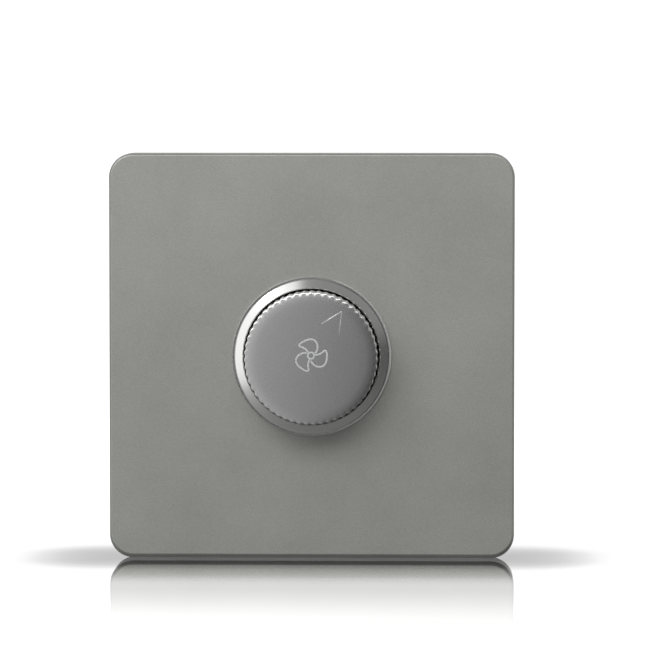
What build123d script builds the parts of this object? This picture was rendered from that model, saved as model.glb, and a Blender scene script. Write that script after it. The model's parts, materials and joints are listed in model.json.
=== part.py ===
from build123d import *
import os
from math import cos, radians, sin, sqrt

# A rotary speed dimmer on a square wall plate.
# Each piece is drawn with the wall as its floor: X runs to the right, Y up the wall and
# Z out into the room. Heights are measured from the wall plane, so what lies in the wall
# box is negative. The finished piece is then stood upright: the room is at -Y, up is +Z.

# Cover plate
plate_side = 86.0
plate_depth = 9.0
plate_front_wall = 2.0
plate_side_wall = 1.8
plate_corner = 5.0
bevel_width = 0.4
foot_bevel_width = 0.85
bevel_depth = 0.55
bevel_round = 0.2
collar_height = 0.8
collar_wall = 1.8
cover_rib_height = 1.0
cover_rib_thickness = 1.2
cover_rib_reach = 45.0
catch_width = 12.0
catch_spacing = 48.0
catch_depth = 1.0
catch_rise = 2.2
catch_height = 2.6
notch_width = 12.0
notch_depth = 1.1

# Trim ring round the knob
ring_outer_radius = 16.85
ring_bore_radius = 14.45
ring_crest = 1.65
ring_crest_land = 0.2
ring_bead_height = 0.6
ring_bead_width = 0.4
ring_bead_edge = 0.05
ring_valley_height = 0.3
sleeve_wall = 1.15
sleeve_clearance = 0.1
hook_length = 1.9
hook_barb = 0.6
hook_play = 0.1
hook_arc = 28.0
hook_direction = -90.0
hook_count = 3
hook_taper = 0.35
barb_land = 0.5

# Knob
knob_gap = 0.375
knob_proud = 8.0
knob_sunk = 3.0
knob_crown = 0.2
roll_width = 2.4
roll_drop = 0.25
rim_bevel = 0.3
flute_count = 55
flute_depth = 0.22
cap_wall = 1.2
cap_top = 1.2
pointer_angle = 57.0
pointer_radius = 12.0
pointer_leg = 5.4
pointer_opening = 51.0
pointer_line = 0.3
cut_margin = 1.0
core_play = 0.05
core_rim_wall = 1.0
core_top = 1.5
core_inset = 1.0
hub_radius = 5.2
hub_web = 1.0
hub_web_count = 6
hub_web_lift = 2.4
hub_slit = 0.8
hub_slit_depth = 4.5
grip_thickness = 0.5
grip_width = 2.6
grip_gap_angle = 50.0
grip_play = 0.02

# Potentiometer
shaft_radius = 3.0
shaft_flat = 1.5
shaft_play = 0.05
shaft_end_gap = 0.3
bushing_radius = 3.5
bushing_spare = 1.2
bushing_flange_radius = 4.6
bushing_flange = 0.8
running_clearance = 0.03
thread_clearance = 0.03
nut_flats = 10.0
nut_height = 2.0
nut_chamfer = 0.5
nut_chamfer_reach = 1.0
washer_radius = 5.6
washer_thickness = 0.5
clip_thickness = 0.4
clip_radius = 4.4
clip_groove = 0.5
clip_gap_angle = 70.0
clip_play = 0.06
pot_radius = 8.2
pot_depth = 6.0
pot_sheet = 0.6
nib_thickness = 1.0
nib_width = 2.4
nib_length = 1.2
nib_radius = 6.4
nib_clearance = 0.2
wafer_thickness = 1.2
wafer_hole_radius = 3.8
wafer_play = 0.05
tongue_width = 9.4
tongue_reach = 12.6
rotor_radius = 6.2
rotor_thickness = 2.0
rotor_lift = 0.65
wiper_thickness = 0.25
wiper_gap = 0.15
wiper_inner = 4.2
wiper_outer = 5.8
wiper_arc = 150.0
wiper_foot_half_angle = 6.0
lug_reach = 0.7
lug_root = 0.5
stop_clearance = 0.25
lug_half_angle = 5.0
stop_play_angle = 0.5
travel_angle = 300.0
dog_radius = 0.7
dog_play = 0.15
dog_length = 4.0
lead_pitch = 3.0
lead_width = 1.0
lead_thickness = 0.5
lead_row = 11.4
lead_clearance = 0.15
solder_length = 0.8
pad_length = 2.0

# Snap switch behind the potentiometer
switch_depth = 7.2
switch_wall = 0.9
lever_pivot = 5.4
lever_tip_gap = 0.3
lever_hub_radius = 1.1
lever_width = 0.9
lever_thickness = 1.6
lever_pin_radius = 0.5
lever_pin_proud = 0.5
lever_clearance = 0.05
lever_lean = 20.0
lever_floor_gap = 1.4
blade_spacing = 7.0
blade_row = 10.4
blade_drop = 3.6
blade_inset = 0.9

# Mounting frame
web_thickness = 2.5
lip_wall = 1.5
frame_clearance = 0.3
lip_gap = 0.3
tongue_slit = 0.8
tongue_margin = 1.6
tongue_root = 1.0
window_clearance = 0.3
screw_pitch = 60.3
slot_width = 4.5
slot_length = 8.5
slot_rim = 1.5
slot_rim_height = 0.8
frame_rib_height = 1.6
frame_rib_thickness = 1.2
frame_rib_offset = 15.0

# Rear housing
housing_margin = 0.9
housing_depth = 30.0
housing_wall = 1.8
housing_corner = 3.0
boss_inset = 3.4
boss_radius = 2.9
vent_count = 6
vent_width = 1.6
vent_pitch = 3.6
vent_length = 13.0
vent_setback = 4.0
side_vent_length = 11.0
support_spacing = 16.0
support_thickness = 1.6
support_depth = 1.8

# Housing screws
housing_screw_radius = 1.25
housing_screw_length = 10.0
housing_screw_point = 0.6
screw_hole_spare = 1.0
housing_head_radius = 2.4
housing_head_height = 1.2
head_edge = 0.5
head_clearance = 0.3
head_recess = 0.1
drive_width = 0.6
drive_length = 2.6
drive_depth = 0.7

# Control board
board_drop = 8.0
board_thickness = 1.6
board_gap = 0.3
board_notch_gap = 0.4
board_hole_gap = 0.5

# Terminal block
block_width = 25.0
block_height = 10.4
block_rear_wall = 1.6
block_clearance = 0.15
pole_spacing = 12.4
clamp_width = 6.8
clamp_height = 7.8
clamp_length = 11.0
clamp_play = 0.15
clamp_wall = 0.9
wire_radius = 1.9
wire_funnel = 0.5
clamp_screw_radius = 1.7
clamp_screw_setback = 7.0
clamp_head_radius = 2.5
clamp_head_height = 1.3
clamp_head_recess = 0.3
clamp_tip_gap = 0.3
clamp_tab_width = 3.0
clamp_tab_thickness = 1.0

# Triac and its heat sink
sink_width = 26.0
sink_sheet = 1.5
sink_flange = 4.0
sink_wall_gap = 3.7
sink_end_gap = 0.8
sink_bend_radius = 1.35
triac_width = 10.0
triac_body_depth = 4.4
triac_body_length = 9.2
triac_tab_length = 6.4
triac_tab_thickness = 1.3
triac_lift = 1.6
triac_lead_pitch = 2.54
triac_lead_size = 0.8
triac_lead_reach = 1.6
triac_lead_step = 1.9
triac_hole_radius = 1.85
triac_screw_radius = 1.5
triac_head_radius = 2.75
triac_head_height = 2.0
triac_edge = 0.35
triac_nut_flats = 5.5
triac_nut_height = 2.4
triac_screw_spare = 0.6

# Parts on the rear of the board: where each stands and how big it is
choke_at = (-15.2, 10.4)
choke_radius = 6.0
choke_height = 12.0
choke_flange = 1.5
choke_neck_radius = 3.2
winding_rows = 7
winding_play = 0.05
winding_ridge = 0.5
choke_pin_inset = 2.0
film_capacitor_at = (-16.2, -3.6)
film_capacitor_size = (6.0, 13.0, 12.0)
timing_capacitor_at = (13.2, 0.0)
timing_capacitor_size = (4.0, 7.5, 8.5)
capacitor_corner = 0.6
capacitor_pin_inset = 1.5
resistor_radius = 1.15
resistor_length = 6.3
resistor_places = ((13.8, 10.4), (17.0, 10.4), (13.8, -8.6))
diac_at = (17.6, -8.9)
diac_radius = 0.95
diac_length = 4.0
fuse_at = (18.6, 0.0)
fuse_radius = 1.6
fuse_length = 8.6
pin_radius = 0.35
pin_overhang = 1.0
pin_clearance = 0.1
barrel_edge = 0.35
lead_bend = 0.8

# Heights and outlines that follow from the sizes above
plate_inner = plate_depth - plate_front_wall
plate_room = plate_side - 2 * plate_side_wall
collar_back = plate_inner - collar_height
sleeve_radius = ring_bore_radius + sleeve_wall
plate_hole_radius = sleeve_radius + sleeve_clearance
knob_radius = ring_bore_radius - knob_gap
knob_face = plate_depth + knob_proud
knob_back = plate_depth - knob_sunk
cap_inner_radius = knob_radius - flute_depth - cap_wall
cap_ceiling = knob_face - cap_top
bushing_end = web_thickness + washer_thickness + nut_height + bushing_spare
clip_low = bushing_end + clip_play
hub_low = clip_low + clip_thickness + shaft_end_gap
shaft_end = cap_ceiling - core_top - shaft_end_gap
frame_side = plate_room - 2 * frame_clearance
frame_corner = plate_corner - plate_side_wall - frame_clearance
lip_top = plate_inner - lip_gap
housing_side = screw_pitch - slot_length - 2 * housing_margin
housing_room = housing_side - 2 * housing_wall
housing_floor = -(housing_depth - housing_wall)
boss_at = housing_side / 2 - boss_inset
board_front = -board_drop
board_back = board_front - board_thickness
pot_inner_radius = pot_radius - pot_sheet
wafer_back = -pot_depth
wafer_front = wafer_back + wafer_thickness
rotor_low = wafer_front + rotor_lift
switch_back = -pot_depth - switch_depth
dog_orbit = wafer_hole_radius - dog_radius - dog_play
lever_reach = lever_pivot - dog_orbit - dog_radius - lever_tip_gap


def polar(radius, angle):
    return (radius * cos(radians(angle)), radius * sin(radians(angle)))


def block(x_span, y_span, z_span):
    """Square-edged block between two limits on each axis."""
    size = [high - low for low, high in (x_span, y_span, z_span)]
    middle = [(high + low) / 2 for low, high in (x_span, y_span, z_span)]
    return Pos(*middle) * Box(*size)


def slab(width, height, low, high, corner):
    """Block with rounded corners, centred on the axis of the knob."""
    return Pos(0, 0, low) * extrude(RectangleRounded(width, height, corner), high - low)


def disc(radius, low, high, at=(0, 0)):
    return Pos(at[0], at[1], (low + high) / 2) * Cylinder(radius, high - low)


def tube(outer, inner, low, high, at=(0, 0)):
    return disc(outer, low, high, at) - disc(inner, low, high, at)


def turned(points, arc=360.0):
    """Solid turned about the knob axis from (radius, height) points."""
    face = make_face(Plane.XZ * Polyline(*points, close=True))
    return revolve(face, Axis.Z, arc)


def sector(inner, outer, low, high, middle, half_angle):
    """Piece of a flat ring centred on the direction called middle."""
    piece = turned([(inner, low), (outer, low), (outer, high), (inner, high)], 2 * half_angle)
    return Rot(0, 0, middle - half_angle) * piece


def around(shape, count, start=0.0):
    return [Rot(0, 0, start + 360.0 / count * i) * shape for i in range(count)]


def d_section(radius, flat, low, high):
    """Round bar with one flat, which faces away from the pointer."""
    bar = disc(radius, low, high)
    cut = block((flat, 2 * radius), (-2 * radius, 2 * radius), (low, high))
    return Rot(0, 0, pointer_angle + 180.0) * (bar - cut)


def cross_drive(head_top, at=(0, 0)):
    """Crossed slots sunk in a screw head that faces the room."""
    depth = (head_top - drive_depth, head_top)
    arms = (drive_length / 2, drive_width / 2)
    bars = [
        block((-a, a), (-b, b), depth)
        for a, b in (arms, arms[::-1])
    ]
    return Pos(at[0], at[1], 0) * (bars[0] + bars[1])


def slot_block(length, width, low, high, at):
    return Pos(at[0], at[1], low) * extrude(SlotOverall(length, width), high - low)


# Cover plate and trim ring

def cover_catch():
    """Wedge inside the upper wall that snaps into a window of the frame."""
    wall = plate_room / 2
    low = catch_rise
    high = catch_rise + catch_height
    root = wall + plate_side_wall / 2
    nose = (wall - catch_depth, low + catch_depth)
    profile = [(root, low), (wall, low), nose, (wall, high), (root, high)]
    face = make_face(Plane.YZ * Polyline(*profile, close=True))
    return extrude(face, catch_width / 2, both=True)


def make_face_plate():
    shoulder = plate_depth - bevel_depth
    outline = RectangleRounded(plate_side, plate_side, plate_corner)
    face_height = plate_side - bevel_width - foot_bevel_width
    face = RectangleRounded(plate_side - 2 * bevel_width, face_height, plate_corner - bevel_width)
    face = Pos(0, (foot_bevel_width - bevel_width) / 2) * face
    body = extrude(outline, shoulder)
    body += loft([Pos(0, 0, shoulder) * outline, Pos(0, 0, plate_depth) * face], ruled=True)
    body = fillet(body.faces().sort_by(Axis.Z)[-1].edges(), bevel_round)
    body -= slab(plate_room, plate_room, 0, plate_inner, plate_corner - plate_side_wall)
    collar_radius = plate_hole_radius + collar_wall
    body += disc(collar_radius, collar_back, plate_inner)
    rib = block(
        (plate_hole_radius + collar_wall / 2, cover_rib_reach),
        (-cover_rib_thickness / 2, cover_rib_thickness / 2),
        (plate_inner - cover_rib_height, plate_inner),
    )
    body += around(rib, 4, 45.0)
    body -= disc(plate_hole_radius, collar_back - cover_rib_height, plate_depth)
    catch = cover_catch()
    pair = [Pos(side * catch_spacing / 2, 0, 0) * catch for side in (-1, 1)]
    body += pair + [Rot(0, 0, 180) * one for one in pair]
    body -= block(
        (-notch_width / 2, notch_width / 2),
        (-plate_side / 2, -plate_room / 2),
        (0, notch_depth),
    )
    return body


def make_trim_ring():
    """Turned bezel: a fine bead, a cone that rises to the knob, a sleeve with snap hooks."""
    bead_top = plate_depth + ring_bead_height
    crest = plate_depth + ring_crest
    body = turned([
        (ring_bore_radius, collar_back),
        (sleeve_radius, collar_back),
        (sleeve_radius, plate_depth),
        (ring_outer_radius, plate_depth),
        (ring_outer_radius, bead_top - ring_bead_edge),
        (ring_outer_radius - ring_bead_edge, bead_top),
        (ring_outer_radius - 2 * ring_bead_edge, bead_top),
        (ring_outer_radius - ring_bead_width, plate_depth + ring_valley_height),
        (ring_bore_radius + ring_crest_land, crest),
        (ring_bore_radius, crest - ring_crest_land),
    ])
    tip = collar_back - hook_length
    barb_top = collar_back - hook_play
    hook = turned([
        (ring_bore_radius, tip),
        (sleeve_radius - hook_taper, tip),
        (sleeve_radius + hook_barb, barb_top - barb_land),
        (sleeve_radius + hook_barb, barb_top),
        (sleeve_radius, barb_top),
        (sleeve_radius, collar_back),
        (ring_bore_radius, collar_back),
    ], hook_arc)
    return body + around(hook, hook_count, hook_direction - hook_arc / 2)


# Knob

def scallops(crest):
    """Fluted outline of alternate round ribs and hollows, from tangent arcs."""
    quarter = 360.0 / flute_count / 4
    middle = crest - flute_depth / 2
    arcs = []
    for i in range(flute_count):
        peak = pointer_angle + 4 * quarter * i
        arcs.append(ThreePointArc(
            polar(middle, peak - quarter), polar(crest, peak), polar(middle, peak + quarter)
        ))
        arcs.append(ThreePointArc(
            polar(middle, peak + quarter),
            polar(crest - flute_depth, peak + 2 * quarter),
            polar(middle, peak + 3 * quarter),
        ))
    return make_face(arcs)


def crown_block():
    """Solid whose top is the face of the knob: a dome that rolls off at the rim."""
    top = knob_face
    roll_start = (knob_radius - roll_width, top - knob_crown)
    rim = (knob_radius, top - knob_crown - roll_drop)
    dome = TangentArc((0, top), roll_start, tangent=(1, 0))
    roll = TangentArc(roll_start, rim, tangent=dome % 1)
    past = (knob_radius + cut_margin, rim[1])
    below = knob_back - cut_margin
    outline = dome + roll
    outline += Polyline(rim, past, (past[0], below), (0, below), (0, top))
    return revolve(make_face(Plane.XZ * outline), Axis.Z)


def on_crown(x, y):
    """Point of the domed face above a place on the drawing."""
    reach = knob_radius - roll_width
    dome_radius = (reach ** 2 + knob_crown ** 2) / (2 * knob_crown)
    return Vector(x, y, knob_face - dome_radius + sqrt(dome_radius ** 2 - x ** 2 - y ** 2))


def pointer_cut():
    """Two fine V-shaped strokes that meet in an arrowhead near the rim."""
    tip = polar(pointer_radius, pointer_angle)
    strokes = []
    for side in (-1, 1):
        leg = polar(pointer_leg, pointer_angle + 180 + side * pointer_opening / 2)
        line = Line(on_crown(*tip), on_crown(tip[0] + leg[0], tip[1] + leg[1]))
        level = Vector(-leg[1], leg[0], 0)
        section = Rot(0, 0, 45) * Rectangle(pointer_line / sqrt(2), pointer_line / sqrt(2))
        strokes.append(sweep(Plane(line @ 0, x_dir=level, z_dir=line % 0) * section, path=line))
    return strokes[0] + strokes[1]


def make_knob_cap():
    """Thin fluted shell with a domed face, a bevel that follows the flutes and the pointer."""
    shoulder = knob_face - knob_crown - roll_drop - rim_bevel
    rise = knob_face + cut_margin - shoulder
    outline = scallops(knob_radius)
    narrow = scallops(knob_radius - rise)
    body = Pos(0, 0, knob_back) * extrude(outline, shoulder - knob_back)
    body += loft([Pos(0, 0, shoulder) * outline, Pos(0, 0, shoulder + rise) * narrow], ruled=True)
    body &= crown_block()
    body -= disc(cap_inner_radius, knob_back, cap_ceiling)
    return body - pointer_cut()


def make_knob_core():
    """Moulded spider under the cap: rim, web, spokes and a slit hub for the shaft."""
    radius = cap_inner_radius - core_play
    low = knob_back + core_inset
    body = tube(radius, radius - core_rim_wall, low, cap_ceiling)
    body += disc(radius, cap_ceiling - core_top, cap_ceiling)
    body += disc(hub_radius, hub_low, cap_ceiling)
    spoke = block(
        (hub_radius - hub_web, radius - core_rim_wall / 2),
        (-hub_web / 2, hub_web / 2),
        (max(hub_low + hub_web_lift, low), cap_ceiling),
    )
    body += around(spoke, hub_web_count, pointer_angle)
    bore_end = shaft_end + shaft_end_gap
    body -= d_section(shaft_radius + shaft_play, shaft_flat + shaft_play, hub_low, bore_end)
    seat = tube(2 * hub_radius, hub_radius - grip_thickness, hub_low, hub_low + grip_width)
    slit = block(
        (-hub_radius, hub_radius),
        (-hub_slit / 2, hub_slit / 2),
        (hub_low, hub_low + hub_slit_depth),
    )
    return body - seat - Rot(0, 0, pointer_angle + 90) * slit


def make_knob_spring():
    """Open spring band that squeezes the slit end of the hub on the shaft."""
    inner = hub_radius - grip_thickness + grip_play
    high = hub_low + grip_width
    band = tube(inner + grip_thickness, inner, hub_low, high)
    gap = sector(inner / 2, 2 * inner, hub_low, high, pointer_angle + 90, grip_gap_angle / 2)
    return band - gap


# Potentiometer

def make_pot_shaft():
    round_end = clip_low + clip_thickness
    body = disc(shaft_radius, wafer_front + wiper_gap, round_end)
    body += d_section(shaft_radius, shaft_flat, round_end, shaft_end)
    body = chamfer(body.faces().sort_by(Axis.Z)[-1].edges(), clip_groove / 2)
    return body - tube(2 * shaft_radius, shaft_radius - clip_groove, clip_low, clip_low + clip_thickness)


def make_shaft_clip():
    """Open ring in the groove of the shaft, just in front of the bushing."""
    inner = shaft_radius - clip_groove + grip_play
    low = clip_low
    high = clip_low + clip_thickness
    ring = tube(clip_radius, inner, low, high)
    return ring - sector(inner / 2, 2 * clip_radius, low, high, pointer_angle, clip_gap_angle / 2)


def make_pot_bushing():
    body = disc(bushing_radius, -pot_sheet, bushing_end)
    body += disc(bushing_flange_radius, -pot_sheet - bushing_flange, -pot_sheet)
    body -= disc(shaft_radius + running_clearance, -pot_sheet - bushing_flange, bushing_end)
    rim = body.faces().sort_by(Axis.Z)[-1].outer_wire().edges()
    return chamfer(rim, (bushing_radius - shaft_radius) / 2)


def make_pot_washer():
    bore = bushing_radius + thread_clearance
    return tube(washer_radius, bore, web_thickness, web_thickness + washer_thickness)


def make_pot_nut():
    low = web_thickness + washer_thickness
    high = low + nut_height
    wide = nut_flats / 2 + nut_chamfer_reach
    nut = Pos(0, 0, low) * extrude(RegularPolygon(nut_flats / 2, 6, major_radius=False), nut_height)
    corner_break = turned([
        (0, low), (nut_flats / 2, low), (wide, low + nut_chamfer),
        (wide, high - nut_chamfer), (nut_flats / 2, high), (0, high),
    ])
    return (nut & corner_break) - disc(bushing_radius + thread_clearance, low, high)


def make_pot_case():
    """Pressed cup with the locating nib, the end stop and a gap for the lead tongue."""
    body = tube(pot_radius, pot_inner_radius, wafer_back, -pot_sheet)
    body += disc(pot_radius, -pot_sheet, 0)
    body -= disc(bushing_radius + thread_clearance, -pot_sheet, 0)
    body += block(
        (-nib_width / 2, nib_width / 2),
        (nib_radius - nib_thickness / 2, nib_radius + nib_thickness / 2),
        (-pot_sheet, nib_length),
    )
    stop_half = (360.0 - travel_angle) / 2 - lug_half_angle - stop_play_angle
    stop_inner = rotor_radius + stop_clearance
    body += sector(stop_inner, pot_inner_radius + pot_sheet / 2, rotor_low, -pot_sheet, -90.0, stop_half)
    return body - block(
        (-tongue_width / 2 - wafer_play, tongue_width / 2 + wafer_play),
        (-2 * pot_radius, -pot_inner_radius / 2),
        (wafer_back, wafer_front + wafer_play),
    )


def lead_pins(clearance=0.0):
    """The three flat leads of the potentiometer, or the holes that they pass through."""
    half_width = lead_width / 2 + clearance
    half_thickness = lead_thickness / 2 + clearance
    return [
        block(
            (x - half_width, x + half_width),
            (-lead_row - half_thickness, -lead_row + half_thickness),
            (board_back - solder_length - clearance, wafer_front + lead_thickness + clearance),
        )
        for x in (-lead_pitch, 0.0, lead_pitch)
    ]


def make_pot_wafer():
    body = disc(pot_inner_radius - wafer_play, wafer_back, wafer_front)
    body += block((-tongue_width / 2, tongue_width / 2), (-tongue_reach, 0), (wafer_back, wafer_front))
    body -= disc(wafer_hole_radius, wafer_back, wafer_front)
    return body - lead_pins(lead_clearance)


def make_pot_leads():
    """Flat leads with a rivet pad that lies on the front of the wafer."""
    pads = [
        block(
            (x - lead_width / 2, x + lead_width / 2),
            (-lead_row - lead_thickness / 2, -lead_row + pad_length),
            (wafer_front, wafer_front + lead_thickness),
        )
        for x in (-lead_pitch, 0.0, lead_pitch)
    ]
    return [pin + pad for pin, pad in zip(lead_pins(), pads)]


def make_pot_rotor():
    """Moulded disc on the tail of the shaft, with the stop lug and the switch dog."""
    high = rotor_low + rotor_thickness
    body = disc(rotor_radius, rotor_low, high)
    lug = (rotor_radius - lug_root, rotor_radius + lug_reach)
    body += sector(*lug, rotor_low, high, pointer_angle, lug_half_angle)
    body -= disc(shaft_radius, rotor_low, high)
    post = disc(dog_radius, wafer_back - dog_length, rotor_low, polar(dog_orbit, pointer_angle))
    post -= disc(shaft_radius, wafer_front, rotor_low)
    return body + post


def make_pot_wiper():
    """Spring arc under the rotor with a foot at each end that runs on the track."""
    arm_low = rotor_low - wiper_thickness
    middle = pointer_angle + 180
    body = sector(wiper_inner, wiper_outer, arm_low, rotor_low, middle, wiper_arc / 2)
    for end in (middle - wiper_arc / 2, middle + wiper_arc / 2):
        foot_low = wafer_front + wiper_gap
        body += sector(wiper_inner, wiper_outer, foot_low, arm_low, end, wiper_foot_half_angle)
    return body


# Snap switch

def lever_place():
    return (0.0, -lever_pivot)


def make_switch_case():
    body = tube(pot_radius, pot_radius - switch_wall, switch_back, wafer_back)
    body += disc(pot_radius, switch_back, switch_back + switch_wall)
    lever_low = switch_back + switch_wall + lever_floor_gap
    body += disc(lever_hub_radius, switch_back + switch_wall, lever_low, lever_place())
    pin_end = lever_low + lever_thickness + lever_pin_proud
    body += disc(lever_pin_radius, lever_low, pin_end, lever_place())
    return body - blade_bars(lead_clearance)


def make_switch_lever():
    """Rocker that the dog of the rotor throws over near the off stop."""
    low = switch_back + switch_wall + lever_floor_gap
    high = low + lever_thickness
    body = disc(lever_hub_radius, low, high)
    body += block((-lever_width / 2, lever_width / 2), (0, lever_reach), (low, high))
    body += block((-lever_width, lever_width), (-lever_reach, 0), (low, high))
    body -= disc(lever_pin_radius + lever_clearance, low, high)
    return Pos(lever_place()[0], lever_place()[1], 0) * Rot(0, 0, lever_lean) * body


def blade_bars(clearance=0.0):
    """Part of each switch blade that lies in the wall of the switch case."""
    level = board_back - blade_drop
    half_width = lead_width / 2 + clearance
    half_thickness = lead_thickness / 2 + clearance
    return [
        block(
            (x - half_width, x + half_width),
            (pot_radius - switch_wall - blade_inset, blade_row + lead_thickness / 2),
            (level - half_thickness, level + half_thickness),
        )
        for x in (-blade_spacing / 2, blade_spacing / 2)
    ]


def blade_legs(clearance=0.0):
    half_width = lead_width / 2 + clearance
    half_thickness = lead_thickness / 2 + clearance
    return [
        block(
            (x - half_width, x + half_width),
            (blade_row - half_thickness, blade_row + half_thickness),
            (board_back - blade_drop - lead_thickness / 2, board_front + solder_length),
        )
        for x in (-blade_spacing / 2, blade_spacing / 2)
    ]


def make_switch_blades():
    return [bar + leg for bar, leg in zip(blade_bars(), blade_legs())]


# Mounting frame, rear housing and their screws

def boss_places():
    return [(x * boss_at, y * boss_at) for x in (-1, 1) for y in (-1, 1)]


def make_mounting_frame():
    """Moulded yoke: web, raised lip with snap tongues, screw slots and the bushing hole."""
    body = slab(frame_side, frame_side, 0, lip_top, frame_corner)
    inside = frame_side - 2 * lip_wall
    body -= slab(inside, inside, web_thickness, lip_top, frame_corner - lip_wall)
    rib_top = web_thickness + frame_rib_height
    for offset in (-frame_rib_offset, frame_rib_offset):
        across = (-inside / 2, inside / 2)
        thin = (offset - frame_rib_thickness / 2, offset + frame_rib_thickness / 2)
        body += block(across, thin, (web_thickness, rib_top))
        body += block(thin, across, (web_thickness, rib_top))
    for x in (-screw_pitch / 2, screw_pitch / 2):
        rim_top = web_thickness + slot_rim_height
        body += slot_block(slot_length + 2 * slot_rim, slot_width + 2 * slot_rim, 0, rim_top, (x, 0))
        body -= slot_block(slot_length, slot_width, 0, rim_top, (x, 0))
    head_floor = web_thickness - housing_head_height - head_recess
    for at in boss_places():
        body -= disc(housing_head_radius + head_clearance, head_floor, web_thickness, at)
        body -= disc(housing_screw_radius + head_clearance, 0, head_floor, at)
    body -= disc(bushing_radius + thread_clearance, 0, web_thickness)
    body -= block(
        (-nib_width / 2 - nib_clearance, nib_width / 2 + nib_clearance),
        (nib_radius - nib_thickness / 2 - nib_clearance, nib_radius + nib_thickness / 2 + nib_clearance),
        (0, nib_length + nib_clearance),
    )
    return body - snap_cuts()


def snap_cuts():
    """Windows for the catches of the cover, each in a tongue freed by two slits."""
    depth = (frame_side / 2 - lip_wall, frame_side / 2)
    half_window = catch_width / 2 + window_clearance
    cuts = []
    for x in (-catch_spacing / 2, catch_spacing / 2):
        window = (catch_rise - window_clearance, catch_rise + catch_height + window_clearance)
        cuts.append(block((x - half_window, x + half_window), depth, window))
        for side in (-1, 1):
            edge = x + side * (half_window + tongue_margin)
            slit = (edge - tongue_slit / 2, edge + tongue_slit / 2)
            cuts.append(block(slit, depth, (tongue_root, lip_top)))
    return cuts + [Rot(0, 0, 180) * cut for cut in cuts]


def block_seat(clearance):
    """Room that the terminal block takes in the lower rear edge of the housing."""
    return block(
        (-block_width / 2 - clearance, block_width / 2 + clearance),
        (-housing_side / 2, -housing_side / 2 + block_height + clearance),
        (-housing_depth, board_back),
    )


def make_rear_housing():
    """Deep cup with screw bosses, board supports, vents and the terminal cut-out."""
    body = slab(housing_side, housing_side, -housing_depth, 0, housing_corner)
    back = body.faces().sort_by(Axis.Z)[0]
    body = fillet(back.edges(), housing_wall / 2)
    body -= slab(housing_room, housing_room, housing_floor, 0, housing_corner - housing_wall)
    for at in boss_places():
        body += disc(boss_radius, housing_floor - housing_wall / 2, 0, at)
    for x in (-1, 1):
        for y in (-support_spacing / 2, support_spacing / 2):
            wall = x * housing_room / 2
            body += block(
                sorted((wall + x * housing_wall / 2, wall - x * support_depth)),
                (y - support_thickness / 2, y + support_thickness / 2),
                (housing_floor - housing_wall / 2, board_back),
            )
    for at in boss_places():
        hole_end = -housing_screw_length - screw_hole_spare
        body -= disc(housing_screw_radius + thread_clearance, hole_end, 0, at)
    for i in range(vent_count):
        x = (i - (vent_count - 1) / 2) * vent_pitch
        slot = (x - vent_width / 2, x + vent_width / 2)
        top = housing_room / 2 - vent_setback
        near = board_back - vent_setback
        body -= block(slot, (top - vent_length, top), (-housing_depth, housing_floor))
        body -= block(slot, (housing_room / 2, housing_side / 2), (near - side_vent_length, near))
    return body - block_seat(block_clearance)


def make_housing_screws():
    screws = []
    for at in boss_places():
        head_low = web_thickness - housing_head_height - head_recess
        head_top = web_thickness - head_recess
        head = disc(housing_head_radius, head_low, head_top, at)
        head = chamfer(head.edges().sort_by(Axis.Z)[-1:], head_edge)
        shank = disc(housing_screw_radius, head_low - housing_screw_length, head_low, at)
        shank = chamfer(shank.edges().sort_by(Axis.Z)[:1], housing_screw_point)
        screws.append(head + shank - cross_drive(head_top, at))
    return screws


# Control board and what stands on it

def upright_pins(places, low):
    return [disc(pin_radius, low, board_front + solder_length, at) for at in places]


def pin_places():
    """Every round lead that passes through the board."""
    places = capacitor_pins(film_capacitor_at, film_capacitor_size)
    places += capacitor_pins(timing_capacitor_at, timing_capacitor_size)
    for at in resistor_places:
        places += axial_pins(at, resistor_length)
    places += axial_pins(diac_at, diac_length)
    places += axial_pins(fuse_at, fuse_length)
    return places + choke_pins()


def capacitor_pins(at, size):
    reach = size[1] / 2 - capacitor_pin_inset
    return [(at[0], at[1] - reach), (at[0], at[1] + reach)]


def axial_pins(at, length):
    reach = length / 2 + pin_overhang
    return [(at[0], at[1] - reach), (at[0], at[1] + reach)]


def choke_pins():
    reach = choke_radius - choke_pin_inset
    return [(choke_at[0], choke_at[1] - reach), (choke_at[0], choke_at[1] + reach)]


def triac_level():
    """Depth of the middle of the triac, which lies along the upper wall."""
    return board_back - triac_lift - triac_width / 2


def triac_legs(clearance=0.0):
    """Upright part of the three leads, or the holes in the board; the deepest one stands last."""
    half = triac_lead_size / 2 + clearance
    row = sink_face() - triac_body_depth / 2
    legs = []
    for i, offset in enumerate((triac_lead_pitch, 0.0, -triac_lead_pitch)):
        x = (triac_body_length + triac_tab_length) / 2 + triac_lead_reach + i * triac_lead_step
        depth = (triac_level() + offset - half, board_front + solder_length)
        legs.append(block((x - half, x + half), (row - half, row + half), depth))
    return legs


def triac_leads():
    """Leads that leave the end of the package and turn towards the board one behind the other."""
    half = triac_lead_size / 2
    row = sink_face() - triac_body_depth / 2
    start = (triac_body_length + triac_tab_length) / 2
    leads = []
    for i, (offset, leg) in enumerate(zip((triac_lead_pitch, 0.0, -triac_lead_pitch), triac_legs())):
        level = triac_level() + offset
        turn = start + triac_lead_reach + i * triac_lead_step
        leads.append(block((start, turn), (row - half, row + half), (level - half, level + half)) + leg)
    return leads


def sink_face():
    """Height up the wall of the heat sink face that the triac lies on."""
    return housing_room / 2 - sink_wall_gap - sink_sheet


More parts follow.
